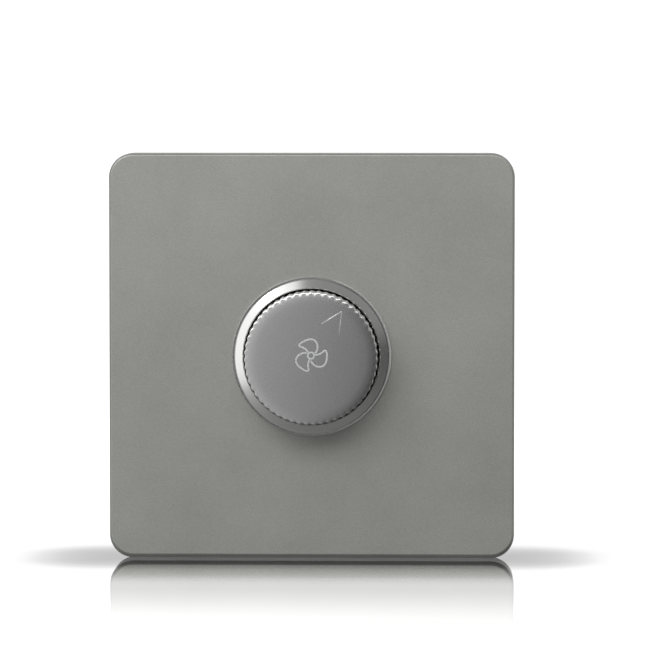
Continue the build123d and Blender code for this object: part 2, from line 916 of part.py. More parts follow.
def make_control_board():
    side = housing_room - 2 * board_gap
    body = block((-side / 2, side / 2), (-side / 2, side / 2), (board_back, board_front))
    body -= disc(pot_radius + board_hole_gap, board_back, board_front)
    for at in boss_places():
        body -= disc(boss_radius + board_notch_gap, board_back, board_front, at)
    body -= [disc(pin_radius + pin_clearance, board_back, board_front, at) for at in pin_places()]
    body -= lead_pins(lead_clearance) + blade_legs(lead_clearance) + triac_legs(lead_clearance)
    return body - clamp_tabs(lead_clearance)


def boxed_capacitor(at, size):
    """Potted film capacitor with two leads."""
    width, height, depth = size
    body = Pos(at[0], at[1], board_back - depth) * extrude(Rectangle(width, height), depth)
    rounded = body.edges().filter_by(Axis.Z) + body.faces().sort_by(Axis.Z)[0].edges()
    body = fillet(rounded, capacitor_corner)
    return body + upright_pins(capacitor_pins(at, size), board_back - capacitor_corner)


def axial_part(at, radius, length):
    """Barrel that lies on the board, on a wire bent down through it at both ends."""
    level = board_back - radius
    tip = board_front + solder_length
    barrel = Pos(at[0], at[1], level) * Rot(90, 0, 0) * Cylinder(radius, length)
    barrel = chamfer(barrel.edges().filter_by(GeomType.CIRCLE), barrel_edge)
    low, high = axial_pins(at, length)
    route = FilletPolyline((*low, tip), (*low, level), (*high, level), (*high, tip), radius=lead_bend)
    wire = sweep(Plane(route @ 0, z_dir=route % 0) * Circle(pin_radius), path=route)
    return barrel + wire


def make_choke_core():
    """Ferrite bobbin that stands on the board."""
    x, y = choke_at
    low = board_back - choke_height
    bobbin = turned([
        (0, low), (choke_radius, low), (choke_radius, low + choke_flange),
        (choke_neck_radius, low + choke_flange), (choke_neck_radius, board_back - choke_flange),
        (choke_radius, board_back - choke_flange), (choke_radius, board_back), (0, board_back),
    ])
    return Pos(x, y, 0) * bobbin + upright_pins(choke_pins(), board_back - choke_flange / 2)


def make_choke_winding():
    """Close turns of wire on the bobbin, each a ridge round the outside."""
    low = board_back - choke_height + choke_flange + winding_play
    high = board_back - choke_flange - winding_play
    pitch = (high - low) / winding_rows
    inner = choke_neck_radius + winding_play
    outer = choke_radius - winding_play
    profile = [(inner, high), (inner, low), (outer - winding_ridge, low)]
    for i in range(winding_rows):
        start = low + i * pitch
        profile += [(outer, start + pitch / 3), (outer, start + 2 * pitch / 3)]
        profile.append((outer - winding_ridge, start + pitch))
    return Pos(choke_at[0], choke_at[1], 0) * turned(profile)


# Triac on its heat sink

def make_heat_sink():
    """Sheet folded to a channel that stands on the board along the upper wall."""
    face = sink_face()
    deep = housing_floor + sink_end_gap
    half = sink_width / 2
    body = block((-half, half), (face, face + sink_sheet), (deep, board_back))
    for side in (-1, 1):
        flange = sorted((side * half, side * (half - sink_sheet)))
        body += block(flange, (face, face + sink_flange), (deep, board_back))
    folds = [
        edge for edge in body.edges().filter_by(Axis.Z)
        if abs(edge.center().Y - face) < 0.01 and abs(abs(edge.center().X) - half) < 0.01
    ]
    body = fillet(folds, sink_bend_radius)
    return body - along_y(triac_hole_radius, face, face + sink_sheet)


def triac_hole():
    """Place across and depth of the fixing hole in the tab of the triac."""
    return -triac_body_length / 2, triac_level()


def along_y(radius, low, high):
    """Bar through the fixing hole of the triac, across the heat sink."""
    x, level = triac_hole()
    return Pos(x, (low + high) / 2, level) * Rot(90, 0, 0) * Cylinder(radius, high - low)


def make_triac():
    """Flat power package on its side: moulded body, metal tab with its hole, three leads."""
    back = sink_face()
    face = back - triac_tab_thickness
    end = (triac_body_length + triac_tab_length) / 2
    levels = (triac_level() - triac_width / 2, triac_level() + triac_width / 2)
    body = block((end - triac_body_length, end), (back - triac_body_depth, face), levels)
    body = chamfer(body.faces().sort_by(Axis.Y)[0].edges(), triac_edge)
    tab = block((-end, end), (face, back), levels)
    tab -= along_y(triac_hole_radius, face, back)
    return body + tab + triac_leads()


def make_triac_screw():
    face = sink_face() - triac_tab_thickness
    end = sink_face() + sink_sheet + triac_nut_height + triac_screw_spare
    head = along_y(triac_head_radius, face - triac_head_height, face)
    head = chamfer(head.edges().sort_by(Axis.Y)[:1], head_edge)
    x, level = triac_hole()
    slot = block(
        (x - triac_head_radius, x + triac_head_radius),
        (face - triac_head_height, face - triac_head_height / 2),
        (level - drive_width / 2, level + drive_width / 2),
    )
    return head + along_y(triac_screw_radius, face, end) - slot


def make_triac_nut():
    low = sink_face() + sink_sheet
    hexagon = extrude(RegularPolygon(triac_nut_flats / 2, 6, major_radius=False), triac_nut_height)
    x, level = triac_hole()
    nut = Pos(x, low, level) * Rot(-90, 0, 0) * hexagon
    return nut - along_y(triac_screw_radius + thread_clearance, low, low + triac_nut_height)


# Terminals

def pole_places():
    return (-pole_spacing / 2, pole_spacing / 2)


def clamp_bounds():
    """Up-the-wall and depth limits of the brass clamps in their pockets."""
    bottom = -housing_side / 2 + clamp_head_recess + clamp_head_height + clamp_play
    deep = -housing_depth + block_rear_wall
    return (bottom, bottom + clamp_height), (deep, deep + clamp_length)


def wire_axis():
    (_, top), _ = clamp_bounds()
    return top - clamp_wall - wire_radius


def clamp_tabs(clearance=0.0):
    """Tab that joins each clamp to the board, or the slot that it passes through."""
    _, (_, near) = clamp_bounds()
    half_width = clamp_tab_width / 2 + clearance
    (_, top), _ = clamp_bounds()
    return [
        block(
            (x - half_width, x + half_width),
            (top - clamp_tab_thickness - clearance, top + clearance),
            (near, board_front + solder_length),
        )
        for x in pole_places()
    ]


def make_terminal_block():
    """Moulded block with a pocket, a wire funnel and a screw access for each pole."""
    body = block_seat(0.0)
    (bottom, top), (deep, _) = clamp_bounds()
    screw_level = deep + clamp_screw_setback
    for x in pole_places():
        half = clamp_width / 2 + clamp_play
        body -= block((x - half, x + half), (bottom, top + clamp_play), (deep, board_back))
        body -= disc(wire_radius + wire_funnel, -housing_depth, deep, (x, wire_axis()))
        access = Rot(90, 0, 0) * Cylinder(clamp_head_radius + clamp_play, bottom + housing_side / 2)
        body -= Pos(x, (bottom - housing_side / 2) / 2, screw_level) * access
    return body


def make_terminal_clamps():
    clamps = []
    (bottom, top), (deep, near) = clamp_bounds()
    screw_level = deep + clamp_screw_setback
    for x, tab in zip(pole_places(), clamp_tabs()):
        body = block((x - clamp_width / 2, x + clamp_width / 2), (bottom, top), (deep, near)) + tab
        body -= disc(wire_radius, deep, near, (x, wire_axis()))
        span = wire_axis() - bottom
        bore = Rot(90, 0, 0) * Cylinder(clamp_screw_radius + thread_clearance, span)
        clamps.append(body - Pos(x, bottom + span / 2, screw_level) * bore)
    return clamps


def make_terminal_screws():
    """Slotted clamp screws, backed off so that the wire entries are free."""
    screws = []
    (bottom, _), (deep, _) = clamp_bounds()
    screw_level = deep + clamp_screw_setback
    tip = wire_axis() - wire_radius - clamp_tip_gap
    for x in pole_places():
        head = Rot(90, 0, 0) * Cylinder(clamp_head_radius, clamp_head_height)
        head = Pos(x, bottom - clamp_head_height / 2, screw_level) * head
        head = chamfer(head.edges().sort_by(Axis.Y)[:1], head_edge)
        shank = Rot(90, 0, 0) * Cylinder(clamp_screw_radius, tip - bottom)
        slot = block(
            (x - clamp_head_radius, x + clamp_head_radius),
            (bottom - clamp_head_height, bottom - clamp_head_height / 2),
            (screw_level - drive_width / 2, screw_level + drive_width / 2),
        )
        screws.append(head + Pos(x, (tip + bottom) / 2, screw_level) * shank - slot)
    return screws


nodes = {
    "face_plate": make_face_plate(),
    "trim_ring": make_trim_ring(),
    "knob_cap": make_knob_cap(),
    "knob_core": make_knob_core(),
    "knob_spring": make_knob_spring(),
    "pot_shaft": make_pot_shaft(),
    "shaft_clip": make_shaft_clip(),
    "pot_bushing": make_pot_bushing(),
    "pot_washer": make_pot_washer(),
    "pot_nut": make_pot_nut(),
    "pot_case": make_pot_case(),
    "pot_wafer": make_pot_wafer(),
    "pot_leads": make_pot_leads(),
    "pot_rotor": make_pot_rotor(),
    "pot_wiper": make_pot_wiper(),
    "switch_case": make_switch_case(),
    "switch_lever": make_switch_lever(),
    "switch_blades": make_switch_blades(),
    "mounting_frame": make_mounting_frame(),
    "rear_housing": make_rear_housing(),
    "housing_screws": make_housing_screws(),
    "control_board": make_control_board(),
    "film_capacitor": boxed_capacitor(film_capacitor_at, film_capacitor_size),
    "timing_capacitor": boxed_capacitor(timing_capacitor_at, timing_capacitor_size),
    "resistors": [axial_part(at, resistor_radius, resistor_length) for at in resistor_places],
    "diac": axial_part(diac_at, diac_radius, diac_length),
    "fuse": axial_part(fuse_at, fuse_radius, fuse_length),
    "choke_core": make_choke_core(),
    "choke_winding": make_choke_winding(),
    "heat_sink": make_heat_sink(),
    "triac": make_triac(),
    "triac_screw": make_triac_screw(),
    "triac_nut": make_triac_nut(),
    "terminal_block": make_terminal_block(),
    "terminal_clamps": make_terminal_clamps(),
    "terminal_screws": make_terminal_screws(),
}

os.makedirs("parts", exist_ok=True)
for name, piece in nodes.items():
    solids = piece if isinstance(piece, list) else [piece]
    upright = Compound([solid for one in solids for solid in (Plane.XZ * one).solids()])
    export_step(upright, f"parts/{name}.step")
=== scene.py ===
import json
import math
import bpy
import bmesh
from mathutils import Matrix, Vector


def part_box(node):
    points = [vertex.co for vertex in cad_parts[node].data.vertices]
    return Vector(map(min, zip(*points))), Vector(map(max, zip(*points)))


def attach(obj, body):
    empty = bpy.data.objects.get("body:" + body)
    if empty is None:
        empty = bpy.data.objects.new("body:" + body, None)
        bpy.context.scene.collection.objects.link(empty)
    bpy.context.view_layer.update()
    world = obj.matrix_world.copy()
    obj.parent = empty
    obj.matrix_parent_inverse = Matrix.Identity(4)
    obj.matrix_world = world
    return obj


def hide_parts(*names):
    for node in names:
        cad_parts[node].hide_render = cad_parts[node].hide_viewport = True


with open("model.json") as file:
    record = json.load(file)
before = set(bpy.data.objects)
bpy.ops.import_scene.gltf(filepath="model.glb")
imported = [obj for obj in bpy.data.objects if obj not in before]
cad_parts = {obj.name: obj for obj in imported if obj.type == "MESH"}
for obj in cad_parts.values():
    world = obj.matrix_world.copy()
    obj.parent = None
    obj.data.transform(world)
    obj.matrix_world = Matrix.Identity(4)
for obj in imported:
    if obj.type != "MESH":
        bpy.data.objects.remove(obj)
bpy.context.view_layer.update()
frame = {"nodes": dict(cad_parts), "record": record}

# A rotary fan-speed dimmer on a square wall plate, in a studio.
# The wall is the plane y = 0, the room is at -y and up is +z. Lengths are in metres.

mm = 0.001
plateLow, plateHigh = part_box("face_plate")
knobLow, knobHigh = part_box("knob_cap")
boardLow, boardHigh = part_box("control_board")
print("frame loaded")

# Camera

viewValues = {
    "imageSize": (647, 662),          # the photograph, in pixels
    "plateWidth": 405.3,              # pixels from the left to the right edge of the plate
    "plateCentre": (311.65, 356.3),   # pixel that the middle of the plate's face falls on
    "distance": 0.95,
    "azimuth": 1.5,                   # degrees to the right of the plate's axis
    "elevation": 3.5,                 # degrees above it
    "sensor": 36.0,
}


def makeCamera():
    values = viewValues
    width, height = values["imageSize"]
    azimuth = math.radians(values["azimuth"])
    elevation = math.radians(values["elevation"])
    back = Vector((
        math.sin(azimuth) * math.cos(elevation),
        -math.cos(azimuth) * math.cos(elevation),
        math.sin(elevation),
    ))
    middle = Vector((0, plateLow.y, (plateLow.z + plateHigh.z) / 2))
    pixel = (plateHigh.x - plateLow.x) / values["plateWidth"]
    turn = (-back).to_track_quat("-Z", "Y")
    right = turn @ Vector((1, 0, 0))
    up = turn @ Vector((0, 1, 0))
    across = (width / 2 - values["plateCentre"][0]) * pixel
    above = (values["plateCentre"][1] - height / 2) * pixel
    camera = bpy.data.objects.new("studioCamera", bpy.data.cameras.new("studioCamera"))
    bpy.context.scene.collection.objects.link(camera)
    camera.location = middle + back * values["distance"] + right * across + up * above
    camera.rotation_mode = "QUATERNION"
    camera.rotation_quaternion = turn
    camera.data.sensor_fit = "AUTO"
    camera.data.sensor_width = values["sensor"]
    camera.data.lens = values["sensor"] * values["distance"] / (pixel * max(width, height))
    camera.data.clip_start = 0.01
    bpy.context.scene.camera = camera


def tidySelection():
    if bpy.context.object and bpy.context.object.mode == "EDIT":
        bpy.ops.object.mode_set(mode="OBJECT")
    bpy.ops.object.select_all(action="DESELECT")


def pickOut(piece):
    tidySelection()
    piece.select_set(True)
    bpy.context.view_layer.objects.active = piece


# Node trees: a short way to add a node, set its values and join it to others

def addNode(tree, kind, inputs=None, **settings):
    node = tree.nodes.new(kind)
    for name, value in settings.items():
        setattr(node, name, value)
    for name, value in (inputs or {}).items():
        if isinstance(value, bpy.types.NodeSocket):
            tree.links.new(value, node.inputs[name])
        else:
            node.inputs[name].default_value = value
    return node


def maths(tree, operation, first, second=0.0, third=0.0):
    inputs = {0: first, 1: second, 2: third}
    return addNode(tree, "ShaderNodeMath", inputs, operation=operation).outputs[0]


def rescale(tree, value, low, high, newLow=0.0, newHigh=1.0):
    limits = {"Value": value, "From Min": low, "From Max": high, "To Min": newLow, "To Max": newHigh}
    return addNode(tree, "ShaderNodeMapRange", limits).outputs["Result"]


def length(tree, first, second):
    square = maths(tree, "MULTIPLY", second, second)
    return maths(tree, "SQRT", maths(tree, "MULTIPLY_ADD", first, first, square))


def axesOf(tree, place):
    return addNode(tree, "ShaderNodeSeparateXYZ", {"Vector": place}).outputs


def blendColour(tree, mask, first, second):
    inputs = {"Factor": mask, "A": first, "B": second}
    node = tree.nodes.new("ShaderNodeMix")
    node.data_type = "RGBA"
    for name, value in inputs.items():
        socket = next(one for one in node.inputs if one.name == name and one.enabled)
        if isinstance(value, bpy.types.NodeSocket):
            tree.links.new(value, socket)
        else:
            socket.default_value = value
    return next(one for one in node.outputs if one.enabled)


def followCurve(tree, value, points):
    # Value read off a curve through the given points, which run from 0 to 1 both ways
    node = addNode(tree, "ShaderNodeFloatCurve", {"Value": value})
    line = node.mapping.curves[0]
    line.points[0].location = points[0]
    line.points[-1].location = points[-1]
    for point in points[1:-1]:
        line.points.new(*point)
    node.mapping.update()
    return node.outputs[0]


def grey(value):
    return (value, value, value, 1.0)


def shade(colour, factor):
    return tuple(min(1.0, part * factor) for part in colour[:3]) + (1.0,)


# Shared effects, each a group that puts out masks and heights

def newGroup(name, inputs, outputs):
    group = bpy.data.node_groups.new(name, "ShaderNodeTree")
    for label, kind, value in inputs:
        socket = group.interface.new_socket(label, in_out="INPUT", socket_type=kind)
        if value is not None:
            socket.default_value = value
    for label, kind in outputs:
        group.interface.new_socket(label, in_out="OUTPUT", socket_type=kind)
    given, result = group.nodes.new("NodeGroupInput"), group.nodes.new("NodeGroupOutput")
    return group, given.outputs, result.inputs


def makeGrainGroup():
    # Even speckle of a moulded or sprayed surface, over slow clouds
    number = "NodeSocketFloat"
    group, given, result = newGroup(
        "surfaceGrain",
        [
            ("Vector", "NodeSocketVector", None),
            ("Grain Scale", number, 4000.0),
            ("Cloud Scale", number, 60.0),
        ],
        [("Grain", number), ("Cloud", number), ("Height", number)],
    )
    grain = addNode(group, "ShaderNodeTexNoise", {
        "Vector": given["Vector"], "Scale": given["Grain Scale"], "Detail": 2.0, "Roughness": 0.6,
    }).outputs["Fac"]
    cloud = addNode(group, "ShaderNodeTexNoise", {
        "Vector": given["Vector"], "Scale": given["Cloud Scale"], "Detail": 5.0, "Roughness": 0.6,
    }).outputs["Fac"]
    cells = addNode(group, "ShaderNodeTexVoronoi", {
        "Vector": given["Vector"], "Scale": maths(group, "MULTIPLY", given["Grain Scale"], 0.6),
    }).outputs["Distance"]
    group.links.new(rescale(group, grain, 0.3, 0.7), result["Grain"])
    group.links.new(rescale(group, cloud, 0.3, 0.7), result["Cloud"])
    group.links.new(maths(group, "MULTIPLY_ADD", cells, 0.5, grain), result["Height"])
    return group


def makeTurnedGroup():
    # Fine rings that a lathe tool leaves round the y axis
    number = "NodeSocketFloat"
    group, given, result = newGroup(
        "turnedLines",
        [("Vector", "NodeSocketVector", None), ("Lines Per Metre", number, 9000.0)],
        [("Lines", number), ("Radius", number)],
    )
    parts = axesOf(group, given["Vector"])
    radius = length(group, parts["Z"], parts["X"])
    along = maths(group, "MULTIPLY_ADD", parts["Y"], 0.7, radius)
    lines = addNode(group, "ShaderNodeTexNoise", {
        "W": maths(group, "MULTIPLY", along, given["Lines Per Metre"]), "Scale": 1.0, "Detail": 3.0,
        "Roughness": 0.7,
    }, noise_dimensions="1D").outputs["Fac"]
    group.links.new(rescale(group, lines, 0.25, 0.75), result["Lines"])
    group.links.new(radius, result["Radius"])
    return group


def makeBrushedGroup():
    # Drawn-out scratches along one direction, given by how much each axis is squeezed
    number = "NodeSocketFloat"
    group, given, result = newGroup(
        "brushedLines",
        [
            ("Vector", "NodeSocketVector", None),
            ("Squeeze", "NodeSocketVector", (40.0, 3000.0, 3000.0)),
        ],
        [("Lines", number), ("Stains", number)],
    )
    squeezed = {0: given["Vector"], 1: given["Squeeze"]}
    drawn = addNode(group, "ShaderNodeVectorMath", squeezed, operation="MULTIPLY")
    lines = addNode(group, "ShaderNodeTexNoise", {
        "Vector": drawn.outputs["Vector"], "Scale": 1.0, "Detail": 4.0, "Roughness": 0.65,
    }).outputs["Fac"]
    stains = addNode(group, "ShaderNodeTexNoise", {
        "Vector": given["Vector"], "Scale": 140.0, "Detail": 6.0, "Roughness": 0.55,
    }).outputs["Fac"]
    group.links.new(rescale(group, lines, 0.3, 0.7), result["Lines"])
    group.links.new(rescale(group, stains, 0.35, 0.75), result["Stains"])
    return group


effects = {
    "grain": makeGrainGroup(),
    "turned": makeTurnedGroup(),
    "brushed": makeBrushedGroup(),
}
print("shared effects made")


def startMaterial(name):
    material = bpy.data.materials.new(name)
    material.use_nodes = True
    tree = material.node_tree
    place = addNode(tree, "ShaderNodeTexCoord").outputs["Object"]
    return material, tree, tree.nodes["Principled BSDF"], place


def useEffect(tree, name, place, **inputs):
    node = tree.nodes.new("ShaderNodeGroup")
    node.node_tree = effects[name]
    tree.links.new(place, node.inputs["Vector"])
    for label, value in inputs.items():
        node.inputs[label.replace("_", " ")].default_value = value
    return node.outputs


def mixMasks(tree, first, share, second):
    rest = maths(tree, "MULTIPLY", second, round(1 - share, 4))
    return maths(tree, "MULTIPLY_ADD", first, share, rest)


def giveRoughness(tree, shader, mask, low, high):
    tree.links.new(rescale(tree, mask, 0.0, 1.0, low, high), shader.inputs["Roughness"])


def addBump(tree, shader, height, strength, distance):
    inputs = {"Height": height, "Strength": strength, "Distance": distance}
    bump = addNode(tree, "ShaderNodeBump", inputs)
    tree.links.new(bump.outputs["Normal"], shader.inputs["Normal"])


# Finishes

plateFinish = {
    "colour": (0.262, 0.266, 0.247, 1.0),
    "fleck": 0.16,                          # how much single flakes differ in brightness
    "cloud": 0.07,
    "roughness": (0.42, 0.52),
    "metallic": 0.45,
    "flakeScale": 5200.0,
    "cloudScale": 45.0,
    "bevelPaintedShade": 0.75,                     # painted shade: the bevel's colour is darkened
    "bevelDepths": (0.04 * mm, 0.2 * mm),   # behind the front, where that begins and is full
    "sidePaintedShadeEase": 1.2,                       # the painted shade is eased again on the flat sides
    "sideDepths": (0.6 * mm, 1.6 * mm),
    "bump": 0.10,
    "bumpHeight": 0.02 * mm,
}


def makePlatePaint():
    # Fine metallic spray on a moulded cover: small flakes, faint clouds, silky bump, and painted shade
    # on the bevel and sides
    values = plateFinish
    material, tree, shader, place = startMaterial("platePaint")
    scales = {"Grain_Scale": values["flakeScale"], "Cloud_Scale": values["cloudScale"]}
    grain = useEffect(tree, "grain", place, **scales)
    flakes = rescale(tree, grain["Grain"], 0.0, 1.0, 1 - values["fleck"], 1 + values["fleck"])
    clouds = rescale(tree, grain["Cloud"], 0.0, 1.0, 1 - values["cloud"], 1 + values["cloud"])
    depth = axesOf(tree, place)["Y"]
    # painted shade: the colour is darkened on the bevel, and a little less on the flat sides
    edgePaintedShade = []
    for depths, change in (("bevelDepths", "bevelPaintedShade"), ("sideDepths", "sidePaintedShadeEase")):
        near, far = values[depths]
        edgePaintedShade.append(rescale(tree, depth, plateLow.y + near, plateLow.y + far, 1.0, values[change]))
    speckle = maths(tree, "MULTIPLY", flakes, clouds)
    both = maths(tree, "MULTIPLY", speckle, maths(tree, "MULTIPLY", *edgePaintedShade))
    scaled = {0: values["colour"][:3], "Scale": both}
    tint = addNode(tree, "ShaderNodeVectorMath", scaled, operation="SCALE")
    tree.links.new(tint.outputs["Vector"], shader.inputs["Base Color"])
    giveRoughness(tree, shader, grain["Grain"], *values["roughness"])
    shader.inputs["Metallic"].default_value = values["metallic"]
    addBump(tree, shader, grain["Height"], values["bump"], values["bumpHeight"])
    return material


bezelFinish = {
    "colour": (0.72, 0.72, 0.71, 1.0),
    "roughness": (0.10, 0.20),
    "linesPerMetre": 16000.0,
    "bump": 0.12,
    "bumpHeight": 0.004 * mm,
}


def makeBezelChrome():
    values = bezelFinish
    material, tree, shader, place = startMaterial("bezelChrome")
    turned = useEffect(tree, "turned", place, Lines_Per_Metre=values["linesPerMetre"])
    colour = values["colour"]
    tint = blendColour(tree, turned["Lines"], shade(colour, 0.93), shade(colour, 1.04))
    tree.links.new(tint, shader.inputs["Base Color"])
    giveRoughness(tree, shader, turned["Lines"], *values["roughness"])
    shader.inputs["Metallic"].default_value = 1.0
    addBump(tree, shader, turned["Lines"], values["bump"], values["bumpHeight"])
    return material


grooveFinish = {
    "chatter": (5000.0, 5000.0, 5000.0),    # marks per metre
    "metallic": 0.4,
    "bump": 0.2,
    "bumpHeight": 0.005 * mm,
    "legs": {                               # painted brightness and roughness of the pointer's two strokes: one stroke painted lit, the other painted shaded
        "paintedLitCut": (0.60, 0.40),
        "paintedShadedCut": (0.42, 0.50),
    },
}


def makeGroove(name):
    # Bare metal in an engraved stroke, with the cutter's chatter; its brightness is painted light, lit
    # on one stroke and shaded on the other
    values = grooveFinish
    paintedBrightness, roughness = values["legs"][name]
    material, tree, shader, place = startMaterial(name)
    brushed = useEffect(tree, "brushed", place, Squeeze=values["chatter"])
    lines = brushed["Lines"]
    # painted light: the stroke's colour is made lighter or darker by how light falls on it
    tint = blendColour(tree, lines, grey(paintedBrightness * 0.9), grey(min(1.0, paintedBrightness * 1.08)))
    tree.links.new(tint, shader.inputs["Base Color"])
    giveRoughness(tree, shader, lines, roughness - 0.08, roughness + 0.10)
    shader.inputs["Metallic"].default_value = values["metallic"]
    addBump(tree, shader, lines, values["bump"], values["bumpHeight"])
    return material


knobFinish = {
    "colour": (0.58, 0.575, 0.575, 1.0),
    "roughness": (0.24, 0.32),
    "grainScale": 9000.0,
    "cloudScale": 120.0,
    "linesPerMetre": 7000.0,
    "lineShare": 0.3,                   # of the roughness, the rest is grain
    "flank": (0.52 * mm, 0.80 * mm),    # behind the rim the plating is less metallic, and its colour is darkened as painted shade
    "flankMetal": 0.2,
    "flankPaintedShade": 0.8,
    "bump": 0.06,
    "bumpHeight": 0.006 * mm,
}


def makeKnobSatin():
    # Pearl-blasted plating: fine even grain, a touch of turned rings
    values = knobFinish
    material, tree, shader, place = startMaterial("knobSatin")
    colour, lineShare = values["colour"], values["lineShare"]
    scales = {"Grain_Scale": values["grainScale"], "Cloud_Scale": values["cloudScale"]}
    grain = useEffect(tree, "grain", place, **scales)
    turned = useEffect(tree, "turned", place, Lines_Per_Metre=values["linesPerMetre"])
    pale = blendColour(tree, grain["Grain"], shade(colour, 0.94), shade(colour, 1.05))
    mixed = mixMasks(tree, turned["Lines"], lineShare, grain["Grain"])
    giveRoughness(tree, shader, mixed, *values["roughness"])
    # painted shade: the flank behind the rim gets a darker colour
    start, end = values["flank"]
    flank = rescale(tree, axesOf(tree, place)["Y"], knobLow.y + start, knobLow.y + end)
    paintedShadeFlankColour = shade(colour, values["flankPaintedShade"])
    tree.links.new(blendColour(tree, flank, pale, paintedShadeFlankColour), shader.inputs["Base Color"])
    metal = rescale(tree, flank, 0.0, 1.0, 1.0, values["flankMetal"])
    tree.links.new(metal, shader.inputs["Metallic"])
    addBump(tree, shader, grain["Height"], values["bump"], values["bumpHeight"])
    return material


def makeMoulding(name, colour, roughness=0.5, grainScale=2600.0, bump=0.25, fleck=0.05):
    # Moulded plastic with a spark-eroded skin
    material, tree, shader, place = startMaterial(name)
    grain = useEffect(tree, "grain", place, Grain_Scale=grainScale, Cloud_Scale=70.0)
    mottle = mixMasks(tree, grain["Cloud"], 0.6, grain["Grain"])
    tint = blendColour(tree, mottle, shade(colour, 1 - fleck), shade(colour, 1 + fleck))
    tree.links.new(tint, shader.inputs["Base Color"])
    giveRoughness(tree, shader, grain["Cloud"], roughness - 0.06, roughness + 0.08)
    addBump(tree, shader, grain["Height"], bump, 0.03 * mm)
    return material


# The small parts on the board

tinFinish = {
    "bright": (0.68, 0.68, 0.67, 1.0),
    "dull": (0.48, 0.48, 0.47, 1.0),
    "roughness": (0.22, 0.42),
    "squeeze": (1500.0, 400.0, 1500.0),
}


def feeding(shader, name):
    return shader.inputs[name].links[0].from_socket


def paintTinned(material, body):
    # Bare tinned wire wherever the mask of the body is 0
    values = tinFinish
    tree = material.node_tree
    shader = tree.nodes["Principled BSDF"]
    place = addNode(tree, "ShaderNodeTexCoord").outputs["Object"]
    stains = useEffect(tree, "brushed", place, Squeeze=values["squeeze"])["Stains"]
    tin = blendColour(tree, stains, values["bright"], values["dull"])
    painted = blendColour(tree, body, tin, feeding(shader, "Base Color"))
    tree.links.new(painted, shader.inputs["Base Color"])
    dull = rescale(tree, stains, 0.0, 1.0, *values["roughness"])
    change = maths(tree, "SUBTRACT", feeding(shader, "Roughness"), dull)
    mixed = maths(tree, "MULTIPLY_ADD", change, body, dull)
    tree.links.new(mixed, shader.inputs["Roughness"])
    tree.links.new(maths(tree, "SUBTRACT", 1.0, body), shader.inputs["Metallic"])


def objectAxes(material):
    tree = material.node_tree
    return tree, axesOf(tree, addNode(tree, "ShaderNodeTexCoord").outputs["Object"])


uprightFinish = {                   # name, colour and roughness of what stands on the board
    "film_capacitor": ("pottedBox", (0.62, 0.46, 0.06, 1.0), 0.4),
    "timing_capacitor": ("dippedResin", (0.26, 0.03, 0.02, 1.0), 0.25),
}


def makeUpright(slot):
    # The body begins at the back of the board, and its pins are tinned
    material = makeMoulding(*uprightFinish[slot])
    tree, axes = objectAxes(material)
    paintTinned(material, maths(tree, "GREATER_THAN", axes["Y"], boardHigh.y - 0.01 * mm))
    return material


axialFinish = {                     # parts that lie along z with a wire at both ends
    "resistor": {
        "look": ("resistorLacquer", (0.52, 0.40, 0.24, 1.0), 0.3),
        "middles": (10.4 * mm, -8.6 * mm),
        "halfLength": 3.16 * mm,
        "bands": (                  # from and to, as parts of the half length, and the colour
            (-0.78, -0.60, (0.16, 0.05, 0.02, 1.0)),
            (-0.38, -0.20, (0.02, 0.02, 0.02, 1.0)),
            (0.02, 0.20, (0.55, 0.20, 0.02, 1.0)),
            (0.60, 0.78, (0.55, 0.42, 0.10, 1.0)),
        ),
    },
    "diac": {
        "look": ("diacLacquer", (0.10, 0.16, 0.36, 1.0), 0.25),
        "middles": (-8.9 * mm,),
        "halfLength": 2.01 * mm,
        "bands": ((0.50, 0.72, (0.03, 0.03, 0.03, 1.0)),),
    },
    "fuse": {
        "look": ("fuseCeramic", (0.66, 0.64, 0.56, 1.0), 0.45),
        "middles": (0.0,),
        "halfLength": 4.31 * mm,
        "bands": (
            (-1.0, -0.55, (0.55, 0.55, 0.54, 1.0)),
            (0.55, 1.0, (0.55, 0.55, 0.54, 1.0)),
        ),
    },
}


def makeAxial(slot):
    values = axialFinish[slot]
    half = values["halfLength"]
    material = makeMoulding(*values["look"])
    tree, axes = objectAxes(material)
    shader = tree.nodes["Principled BSDF"]
    offsets = [maths(tree, "SUBTRACT", axes["Z"], middle) for middle in values["middles"]]
    nearest = offsets[0]
    for offset in offsets[1:]:
        distances = [maths(tree, "ABSOLUTE", one) for one in (offset, nearest)]
        closer = maths(tree, "LESS_THAN", *distances)
        change = maths(tree, "SUBTRACT", offset, nearest)
        nearest = maths(tree, "MULTIPLY_ADD", change, closer, nearest)
    for low, high, colour in values["bands"]:
        middle, width = (low + high) / 2 * half, (high - low) / 2 * half
        band = maths(tree, "COMPARE", nearest, middle, width)
        painted = blendColour(tree, band, feeding(shader, "Base Color"), colour)
        tree.links.new(painted, shader.inputs["Base Color"])
    paintTinned(material, maths(tree, "LESS_THAN", maths(tree, "ABSOLUTE", nearest), half))
    return material


triacFinish = {
    "colour": (0.02, 0.02, 0.021, 1.0),
    "tabThickness": 1.3 * mm,
    "bodyEnd": 15.65 * mm,          # from the tab's end to where the legs leave the package
}


def makeTriacSkin():
    # Black package in front of a plated tab, with tinned legs past its end
    values = triacFinish
    material = makeMoulding("packageEpoxy", values["colour"], 0.5, 2400.0, 0.4, 0.2)
    tree, axes = objectAxes(material)
    low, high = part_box("triac")
    inTab = maths(tree, "GREATER_THAN", axes["Z"], high.z - values["tabThickness"])
    onLegs = maths(tree, "GREATER_THAN", axes["X"], low.x + values["bodyEnd"])
    metal = maths(tree, "MAXIMUM", inTab, onLegs)
    paintTinned(material, maths(tree, "SUBTRACT", 1.0, metal))
    return material


boardFinish = {
    "mask": (0.03, 0.15, 0.06, 1.0),
    "overCopper": (0.05, 0.20, 0.08, 1.0),
    "cutEdge": (0.42, 0.40, 0.22, 1.0),
    "skin": 0.03 * mm,
    "runs": {
        "Scale": 60.0, "Mortar Size": 0.02, "Mortar Smooth": 0.1, "Brick Width": 1.3, "Row Height": 0.17,
    },
}


